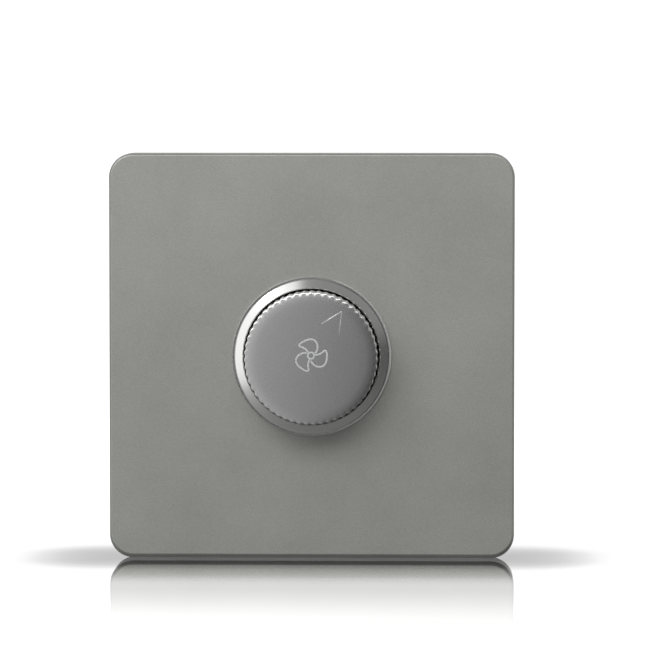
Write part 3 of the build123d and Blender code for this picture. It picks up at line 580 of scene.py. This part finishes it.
def makeBoardSkin():
    # Solder mask, paler over the copper runs, and bare laminate on the cut edges
    values = boardFinish
    material = makeMoulding("boardLaminate", values["mask"], 0.35, 900.0, 0.15, 0.1)
    tree, axes = objectAxes(material)
    shader = tree.nodes["Principled BSDF"]
    place = addNode(tree, "ShaderNodeTexCoord").outputs["Object"]
    flat = {"Vector": place, "Angle": math.radians(90)}
    turned = addNode(tree, "ShaderNodeVectorRotate", flat, rotation_type="X_AXIS").outputs["Vector"]
    colours = {"Color1": grey(0.0), "Color2": grey(0.0), "Mortar": grey(1.0)}
    bricks = {"Vector": turned, **colours, **values["runs"]}
    runs = addNode(tree, "ShaderNodeTexBrick", bricks, offset=0.35, squash=0.6).outputs["Color"]
    painted = blendColour(tree, runs, feeding(shader, "Base Color"), values["overCopper"])
    middle = (boardLow.y + boardHigh.y) / 2
    reach = (boardHigh.y - boardLow.y) / 2 - values["skin"]
    inside = maths(tree, "COMPARE", axes["Y"], middle, reach)
    edged = blendColour(tree, inside, painted, values["cutEdge"])
    tree.links.new(edged, shader.inputs["Base Color"])
    return material


def makeSheetMetal(name, colour, roughness=0.32, squeeze=(60.0, 2600.0, 2600.0), bump=0.15):
    # Rolled, drawn or plated metal with lines along one direction and dull patches
    material, tree, shader, place = startMaterial(name)
    brushed = useEffect(tree, "brushed", place, Squeeze=squeeze)
    lined = blendColour(tree, brushed["Lines"], shade(colour, 0.9), shade(colour, 1.06))
    dulled = blendColour(tree, brushed["Stains"], lined, shade(colour, 0.82))
    tree.links.new(dulled, shader.inputs["Base Color"])
    mixed = mixMasks(tree, brushed["Stains"], 0.5, brushed["Lines"])
    giveRoughness(tree, shader, mixed, roughness - 0.08, roughness + 0.14)
    shader.inputs["Metallic"].default_value = 1.0
    addBump(tree, shader, brushed["Lines"], bump, 0.01 * mm)
    return material


def makeTurnedMetal(name, colour, roughness=0.25, linesPerMetre=9000.0, bump=0.3):
    # Bar stock turned about the y axis
    material, tree, shader, place = startMaterial(name)
    turned = useEffect(tree, "turned", place, Lines_Per_Metre=linesPerMetre)
    tint = blendColour(tree, turned["Lines"], shade(colour, 0.86), shade(colour, 1.05))
    tree.links.new(tint, shader.inputs["Base Color"])
    giveRoughness(tree, shader, turned["Lines"], roughness - 0.06, roughness + 0.12)
    shader.inputs["Metallic"].default_value = 1.0
    addBump(tree, shader, turned["Lines"], bump, 0.01 * mm)
    return material


# Floor, backdrop light and lamps

stageValues = {
    "floorDrop": 0.34 * mm,
    "floorReach": 12.0,
    "floorWhite": 0.90,
    "floorBounce": 0.40,        # what it gives back to the object
    "floorLift": 0.50,          # added for the camera alone, so that the floor ends in pure white
    "mirrorRoughness": 0.03,
    "mirrorReach": 0.25,        # metres in front of the plate at which the mirror image ends
    "mirrorFade": (             # part of that reach, and share of the mirror there
        (0.0, 1.0), (0.04, 1.0), (0.068, 0.975), (0.096, 0.93), (0.124, 0.858), (0.152, 0.753),
        (0.18, 0.70), (0.22, 0.685), (0.372, 0.55), (0.512, 0.46), (0.652, 0.31), (0.792, 0.20),
        (1.0, 0.0),
    ),
    "mirrorPaintedShadow": (            # part of that reach, and brightness of the mirror there: darker near the plate, a painted contact shadow
        (0.0, 0.55), (0.03, 0.62), (0.06, 0.80), (0.10, 1.0), (1.0, 1.0),
    ),
}


def beyond(tree, position, middle, half):
    # How far a position is outside a band
    offset = maths(tree, "ABSOLUTE", maths(tree, "SUBTRACT", position, middle))
    return maths(tree, "MAXIMUM", maths(tree, "SUBTRACT", offset, half), 0.0)


def makeFloor():
    values = stageValues
    tidySelection()
    height = plateLow.z - values["floorDrop"]
    bpy.ops.mesh.primitive_plane_add(size=values["floorReach"], location=(0, 0, height))
    floor = bpy.context.object
    floor.name = "floor"
    material = bpy.data.materials.new("floorWhite")
    material.use_nodes = True
    tree = material.node_tree
    tree.nodes.clear()
    parts = axesOf(tree, addNode(tree, "ShaderNodeNewGeometry").outputs["Position"])
    across = beyond(tree, parts["X"], 0.0, plateHigh.x)
    away = beyond(tree, parts["Y"], (plateLow.y + plateHigh.y) / 2, (plateHigh.y - plateLow.y) / 2)
    part = maths(tree, "DIVIDE", length(tree, across, away), values["mirrorReach"])
    path = addNode(tree, "ShaderNodeLightPath").outputs
    seen = path["Is Camera Ray"]
    paint = blendColour(tree, seen, grey(values["floorBounce"]), grey(values["floorWhite"]))
    white = addNode(tree, "ShaderNodeBsdfDiffuse", {"Color": paint})
    lift = addNode(tree, "ShaderNodeEmission", {
        "Color": grey(1.0), "Strength": maths(tree, "MULTIPLY", seen, values["floorLift"]),
    })
    matt = addNode(tree, "ShaderNodeAddShader", {0: white.outputs[0], 1: lift.outputs[0]})
    # painted shadow: the mirror is darkened close to the plate
    paintedContactShadow = followCurve(tree, part, values["mirrorPaintedShadow"])
    mirror = addNode(tree, "ShaderNodeBsdfAnisotropic", {
        "Color": blendColour(tree, paintedContactShadow, grey(0.0), grey(1.0)), "Roughness": values["mirrorRoughness"],
    })
    share = maths(tree, "MULTIPLY", followCurve(tree, part, values["mirrorFade"]), seen)
    mixed = addNode(tree, "ShaderNodeMixShader", {
        "Fac": share, 1: matt.outputs[0], 2: mirror.outputs[0],
    })
    clear = addNode(tree, "ShaderNodeBsdfTransparent")
    # metals see the studio and not the floor
    whole = addNode(tree, "ShaderNodeMixShader", {
        "Fac": path["Is Glossy Ray"], 1: mixed.outputs[0], 2: clear.outputs[0],
    })
    output = tree.nodes.new("ShaderNodeOutputMaterial")
    tree.links.new(whole.outputs[0], output.inputs["Surface"])
    floor.data.materials.append(material)


worldValues = {
    "front": 0.27,                  # brightness straight in front of the plate
    "slope": -1.6,                  # how fast it changes towards the right
    "darkest": 0.07,
    "brightest": 0.62,
    "beside": (0.45, 0.80),         # sideways share of a direction from which the next curve counts
    "aroundTop": 1.3,               # brightness that 1 stands for in it
    "around": (                     # turn clockwise from straight down, and brightness there
        (0.0, 0.15), (0.083, 0.20), (0.135, 0.30), (0.167, 0.48), (0.20, 0.85), (0.25, 0.96),
        (0.42, 0.96), (0.462, 0.72), (0.492, 0.25), (0.583, 0.21), (0.667, 0.21), (0.71, 0.16),
        (0.75, 0.085), (0.833, 0.11), (0.917, 0.14), (1.0, 0.15),
    ),
    "flagged": 0.35,                # what is left of it level with the plate, where flags stand
    "flagDepths": (-0.14, 0.0),
    "kicker": 1.1,                  # a lamp level with the plate, for the thin light line on the rims
    "kickerDepths": (-0.20, -0.08),
    "kickerTurn": ((0.0, 0.0), (0.525, 0.0), (0.555, 1.0), (0.77, 1.0), (0.85, 0.0), (1.0, 0.0)),
    "behind": 1.0,                  # the white background
    "behindDepths": (0.35, 0.75),
}


def makeWorld():
    values = worldValues
    world = bpy.data.worlds.new("studioWorld")
    bpy.context.scene.world = world
    world.use_nodes = True
    tree = world.node_tree
    tree.nodes.clear()
    parts = axesOf(tree, addNode(tree, "ShaderNodeTexCoord").outputs["Generated"])
    across = maths(tree, "MULTIPLY_ADD", parts["X"], values["slope"], values["front"])
    room = maths(tree, "MAXIMUM", across, values["darkest"])
    room = maths(tree, "MINIMUM", room, values["brightest"])
    angle = maths(tree, "ARCTAN2", parts["X"], parts["Z"])
    turn = maths(tree, "MULTIPLY_ADD", angle, 0.5 / math.pi, 0.5)
    around = maths(tree, "MULTIPLY", followCurve(tree, turn, values["around"]), values["aroundTop"])
    flags = rescale(tree, parts["Y"], *values["flagDepths"], 1.0, values["flagged"])
    around = maths(tree, "MULTIPLY", around, flags)
    kicker = maths(tree, "MULTIPLY", followCurve(tree, turn, values["kickerTurn"]), values["kicker"])
    kicker = maths(tree, "MULTIPLY", kicker, rescale(tree, parts["Y"], *values["kickerDepths"]))
    around = maths(tree, "MAXIMUM", around, kicker)
    beside = rescale(tree, length(tree, parts["X"], parts["Z"]), *values["beside"])
    room = maths(tree, "MULTIPLY_ADD", maths(tree, "SUBTRACT", around, room), beside, room)
    behind = rescale(tree, parts["Y"], *values["behindDepths"])
    seen = addNode(tree, "ShaderNodeLightPath").outputs["Is Camera Ray"]
    white = maths(tree, "MAXIMUM", seen, behind)
    change = maths(tree, "SUBTRACT", values["behind"], room)
    strength = maths(tree, "MULTIPLY_ADD", change, white, room)
    background = addNode(tree, "ShaderNodeBackground", {"Color": grey(1.0), "Strength": strength})
    output = tree.nodes.new("ShaderNodeOutputWorld")
    tree.links.new(background.outputs[0], output.inputs["Surface"])


lampValues = {
    "keyBox": {"place": (-0.27, -0.33, 0.34), "size": (0.34, 0.28), "power": 1.74},
    "fillBox": {"place": (0.03, -0.46, 0.40), "size": (0.40, 0.22), "power": 1.9},
}


def makeLamps():
    for name, values in lampValues.items():
        data = bpy.data.lights.new(name, "AREA")
        data.shape = "RECTANGLE"
        data.size, data.size_y = values["size"]
        data.energy = values["power"]
        lamp = bpy.data.objects.new(name, data)
        bpy.context.scene.collection.objects.link(lamp)
        lamp.location = values["place"]
        lamp.rotation_mode = "QUATERNION"
        lamp.rotation_quaternion = (-Vector(values["place"])).to_track_quat("-Z", "Y")


# The knob's shell

knobValues = {
    "flutes": 55,
    "fluteDepth": 0.22 * mm,
    "stepsPerFlute": 8,
    "wall": 1.2 * mm,
    "top": 1.2 * mm,
    "crown": 0.2 * mm,          # rise of the domed face
    "rollWidth": 2.4 * mm,      # band at the rim in which the face rolls off
    "rollDrop": 0.25 * mm,
    "rimRound": 0.22 * mm,
    "rimSteps": 4,
    "rimLean": 0.05 * mm,       # how much higher than a true round the rim ends
    "faceRings": (              # millimetres in from the rim, and share of the flutes left there
        (0.42, 0.6), (0.62, 0.0), (1.0, 0.0), (1.6, 0.0), (2.4, 0.0), (4.4, 0.0), (6.6, 0.0),
        (8.8, 0.0), (11.0, 0.0), (13.0, 0.0),
    ),
    "smoothAngle": 32.0,
    "pointerAngle": 57.0,
    "pointerRadius": 12.0 * mm,
    "pointerLeg": 5.4 * mm,
    "pointerOpening": 51.0,
    "pointerLine": 0.3 * mm,
}
knobRadius = (knobHigh.x - knobLow.x) / 2 + 0.005 * mm      # the CAD box falls short between flutes


def faceDrop(radius):
    # How far the face of the knob falls back at a radius
    values = knobValues
    domeReach = knobRadius - values["rollWidth"]
    past = max(0.0, radius - domeReach)
    slope = 2 * values["crown"] / domeReach
    bend = (values["rollDrop"] - slope * values["rollWidth"]) / values["rollWidth"] ** 2
    return values["crown"] * (min(radius, domeReach) / domeReach) ** 2 + slope * past + bend * past ** 2


def shapeRing(piece, radiusAtCrest, fluteDepth):
    # Brings the selected ring of points to its outline, one phase of the flutes at a time
    values = knobValues
    mesh = bmesh.from_edit_mesh(piece.data)
    ring = [vertex for vertex in mesh.verts if vertex.select]
    phases = {}
    for vertex in ring:
        turn = math.atan2(vertex.co.z, vertex.co.x) - math.radians(values["pointerAngle"])
        phases.setdefault(round(math.cos(turn * values["flutes"]), 3), []).append(vertex)
    for wave, group in phases.items():
        bpy.ops.mesh.select_all(action="DESELECT")
        for vertex in group:
            vertex.select = True
        mesh.select_flush_mode()
        now = math.hypot(group[0].co.x, group[0].co.z)
        factor = (radiusAtCrest - fluteDepth * (1 - wave) / 2) / now
        bpy.ops.transform.resize(value=(factor, 1, factor), center_override=(0, 0, 0))
    for vertex in ring:
        vertex.select = True
    mesh.select_mode = {"VERT"}
    mesh.select_flush(True)
    bmesh.update_edit_mesh(piece.data)


def nextRing(piece, move, radiusAtCrest, fluteDepth):
    bpy.ops.mesh.extrude_edges_move(TRANSFORM_OT_translate={"value": (0, move, 0)})
    shapeRing(piece, radiusAtCrest, fluteDepth)


def selectRing(piece, depth, radius):
    bpy.ops.mesh.select_all(action="DESELECT")
    mesh = bmesh.from_edit_mesh(piece.data)
    for vertex in mesh.verts:
        near = abs(vertex.co.y - depth) < 0.001 * mm
        vertex.select = near and math.hypot(vertex.co.x, vertex.co.z) > radius
    mesh.select_mode = {"VERT"}
    mesh.select_flush(True)
    bmesh.update_edit_mesh(piece.data)


def makeKnobShell():
    values = knobValues
    tidySelection()
    count = values["flutes"] * values["stepsPerFlute"]
    upright = (math.radians(90), 0, 0)
    bpy.ops.mesh.primitive_circle_add(vertices=count, radius=knobRadius, rotation=upright)
    shell = bpy.context.object
    shell.name = "knob_shell"
    bpy.ops.object.transform_apply(location=True, rotation=True, scale=True)
    bpy.ops.object.mode_set(mode="EDIT")
    bpy.ops.mesh.select_all(action="SELECT")
    first = math.radians(values["pointerAngle"])
    bpy.ops.transform.rotate(value=-first, orient_axis="Y", center_override=(0, 0, 0))
    bpy.ops.transform.translate(value=(0, knobHigh.y, 0))
    depth = values["fluteDepth"]
    shapeRing(shell, knobRadius, depth)
    # the fluted flank, then its rounded edge
    rim = knobLow.y + values["crown"] + values["rollDrop"]
    level = rim + values["rimRound"]
    nextRing(shell, level - knobHigh.y, knobRadius, depth)
    for step in range(values["rimSteps"]):
        angle = math.radians(90) * (step + 1) / values["rimSteps"]
        height = rim + values["rimRound"] * (1 - math.sin(angle))
        height -= values["rimLean"] * math.sin(angle) ** 2
        radius = knobRadius - values["rimRound"] * (1 - math.cos(angle))
        nextRing(shell, height - level, radius, depth)
        level = height
    # the face, on which the flutes fade out
    for inset, fade in values["faceRings"]:
        radius = knobRadius - inset * mm
        height = knobLow.y + faceDrop(radius)
        nextRing(shell, height - level, radius, depth * fade)
        level = height
    bpy.ops.mesh.edge_face_add()
    # the inside: back rim, bore and ceiling
    selectRing(shell, knobHigh.y, 0.0)
    bore = knobRadius - depth - values["wall"]
    nextRing(shell, 0.0, bore, 0.0)
    nextRing(shell, knobLow.y + values["top"] - knobHigh.y, bore, 0.0)
    bpy.ops.mesh.edge_face_add()
    bpy.ops.mesh.select_all(action="SELECT")
    bpy.ops.mesh.normals_make_consistent(inside=False)
    bpy.ops.object.mode_set(mode="OBJECT")
    return shell


def cutPointer(shell, finishesOfLegs):
    # Two V-shaped strokes that meet in an arrowhead, each with its cutter's finish
    values = knobValues
    direction = math.radians(values["pointerAngle"])
    tip = Vector((math.cos(direction), 0, math.sin(direction))) * values["pointerRadius"]
    side = values["pointerLine"] / math.sqrt(2)
    for sign, finish in zip((-1, 1), finishesOfLegs):
        turn = direction + math.pi + sign * math.radians(values["pointerOpening"] / 2)
        along = Vector((math.cos(turn), 0, math.sin(turn)))
        middle = tip + along * values["pointerLeg"] / 2
        middle.y = knobLow.y + faceDrop(math.hypot(middle.x, middle.z))
        tidySelection()
        bpy.ops.mesh.primitive_cube_add(size=1.0)
        cutter = bpy.context.object
        bpy.ops.object.mode_set(mode="EDIT")
        bpy.ops.mesh.select_all(action="SELECT")
        bpy.ops.transform.resize(value=(values["pointerLeg"], side, side))
        bpy.ops.transform.rotate(value=math.radians(45), orient_axis="X", center_override=(0, 0, 0))
        tidySelection()
        cutter.data.materials.append(finish)
        cutter.rotation_euler = (0, -turn, 0)
        cutter.location = middle
        pickOut(shell)
        bpy.ops.object.modifier_add(type="BOOLEAN")
        cut = shell.modifiers[-1]
        cut.operation = "DIFFERENCE"
        cut.object = cutter
        cut.solver = "EXACT"
        cut.material_mode = "TRANSFER"
        bpy.ops.object.modifier_apply(modifier=cut.name)
        bpy.data.objects.remove(cutter, do_unlink=True)
    pickOut(shell)
    bpy.ops.object.shade_smooth_by_angle(angle=math.radians(values["smoothAngle"]))


# The fan sign printed on the knob

signValues = {
    "centre": (0.10 * mm, 0.65 * mm),       # across and up from the knob's axis
    "line": 0.4 * mm,
    "lift": 0.012 * mm,
    "hub": (0.88 * mm, 0.46 * mm),          # outer and inner radius
    "ink": ((0.36, 0.365, 0.365, 1.0), 0.55, 5000.0, 0.1, 0.04),
    "blade": [                              # one blade's outline from the hub, in millimetres
        (-0.50, 0.62), (-1.16, 1.37), (-1.68, 1.68), (-2.45, 2.08), (-2.30, 2.46), (-1.47, 3.02),
        (-0.63, 3.36), (0.05, 3.44), (0.70, 3.25), (1.18, 2.68), (1.38, 1.89), (1.29, 1.16),
        (0.93, 0.50),
    ],
}


def makeFanSign():
    values = signValues
    curve = bpy.data.curves.new("fan_sign", "CURVE")
    curve.dimensions = "3D"
    curve.bevel_depth = values["line"] / 2
    curve.bevel_resolution = 3
    curve.resolution_u = 8
    middle = Vector((values["centre"][0], 0, values["centre"][1]))
    for blade in range(3):
        angle = math.radians(120 * blade)
        spline = curve.splines.new("BEZIER")
        spline.bezier_points.add(len(values["blade"]) - 1)
        for point, (x, z) in zip(spline.bezier_points, values["blade"]):
            point.co = middle + mm * Vector((
                x * math.cos(angle) - z * math.sin(angle), 0, x * math.sin(angle) + z * math.cos(angle)
            ))
            point.handle_left_type = point.handle_right_type = "AUTO"
    ring = curve.splines.new("BEZIER")
    ring.bezier_points.add(7)
    hubRadius = sum(values["hub"]) / 2
    for index, point in enumerate(ring.bezier_points):
        angle = math.radians(45 * index)
        point.co = middle + hubRadius * Vector((math.cos(angle), 0, math.sin(angle)))
        point.handle_left_type = point.handle_right_type = "AUTO"
    ring.use_cyclic_u = True
    traced = bpy.data.objects.new("tracing", curve)
    bpy.context.scene.collection.objects.link(traced)
    pickOut(traced)
    bpy.ops.object.convert(target="MESH")
    sign = bpy.context.object
    sign.name = "fan_sign"
    # pressed flat on to the face
    flatten = values["lift"] / (values["line"] / 2)
    for vertex in sign.data.vertices:
        x, y, z = vertex.co
        vertex.co.y = knobLow.y + faceDrop(math.hypot(x, z)) + y * flatten
    for face in sign.data.polygons:
        face.use_smooth = True
    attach(sign, "knob")
    return sign


makeCamera()
makeFloor()
makeWorld()
makeLamps()
print("camera, stage and light made")

finishes = {
    "plate": makePlatePaint(),
    "bezel": makeBezelChrome(),
    "knob": makeKnobSatin(),
    "board": makeBoardSkin(),
    "triac": makeTriacSkin(),
    "shaft": makeTurnedMetal("shaftAluminium", (0.66, 0.66, 0.67, 1.0), 0.28),
}
mouldings = {       # name, colour, roughness, grain per metre, bump and fleck
    "knob_inner": ("knobCoreMoulding", (0.03, 0.03, 0.032, 1.0), 0.5),
    "phenolic": ("phenolicSheet", (0.30, 0.15, 0.06, 1.0), 0.55, 1800.0, 0.2, 0.16),
    "rotor": ("rotorMoulding", (0.72, 0.70, 0.62, 1.0), 0.42),
    "switch_black": ("switchMoulding", (0.02, 0.02, 0.02, 1.0), 0.35),
    "frame": ("frameMoulding", (0.70, 0.70, 0.67, 1.0), 0.5, 2200.0, 0.3, 0.03),
    "housing": ("housingMoulding", (0.045, 0.046, 0.048, 1.0), 0.55, 1500.0, 0.6, 0.12),
    "ferrite": ("ferrite", (0.025, 0.025, 0.027, 1.0), 0.6, 1200.0, 0.6, 0.2),
    "terminal_block": ("terminalMoulding", (0.58, 0.58, 0.54, 1.0), 0.45),
}
sheetMetals = {     # name, colour, roughness and squeeze of the lines
    "spring_steel": ("springSteel", (0.52, 0.52, 0.51, 1.0), 0.26),
    "brass": ("drawnBrass", (0.72, 0.52, 0.22, 1.0), 0.3, (2400.0, 60.0, 2400.0)),
    "plated_steel": ("zincPlatedSteel", (0.62, 0.63, 0.64, 1.0), 0.34, (500.0, 500.0, 500.0)),
    "copper": ("enamelledCopper", (0.60, 0.22, 0.08, 1.0), 0.25, (300.0, 300.0, 300.0)),
    "heat_sink": ("heatSinkSheet", (0.70, 0.70, 0.71, 1.0), 0.35, (50.0, 2600.0, 2600.0)),
}
for slot, look in mouldings.items():
    finishes[slot] = makeMoulding(*look)
for slot, look in sheetMetals.items():
    finishes[slot] = makeSheetMetal(*look)
for slot in uprightFinish:
    finishes[slot] = makeUpright(slot)
for slot in axialFinish:
    finishes[slot] = makeAxial(slot)

for part in frame["record"]["subparts"]:
    node = frame["nodes"][part["node"]]
    node.data.materials.clear()
    node.data.materials.append(finishes[part["material_slot"]])
print("finishes given to the nodes")

knobShell = makeKnobShell()
knobShell.data.materials.append(finishes["knob"])
cutPointer(knobShell, [makeGroove(name) for name in grooveFinish["legs"]])
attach(knobShell, "knob")
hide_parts("knob_cap")
print("knob shell made")

sign = makeFanSign()
sign.data.materials.append(makeMoulding("signInk", *signValues["ink"]))

bpy.context.scene.view_settings.view_transform = "Standard"

print("scene ready")
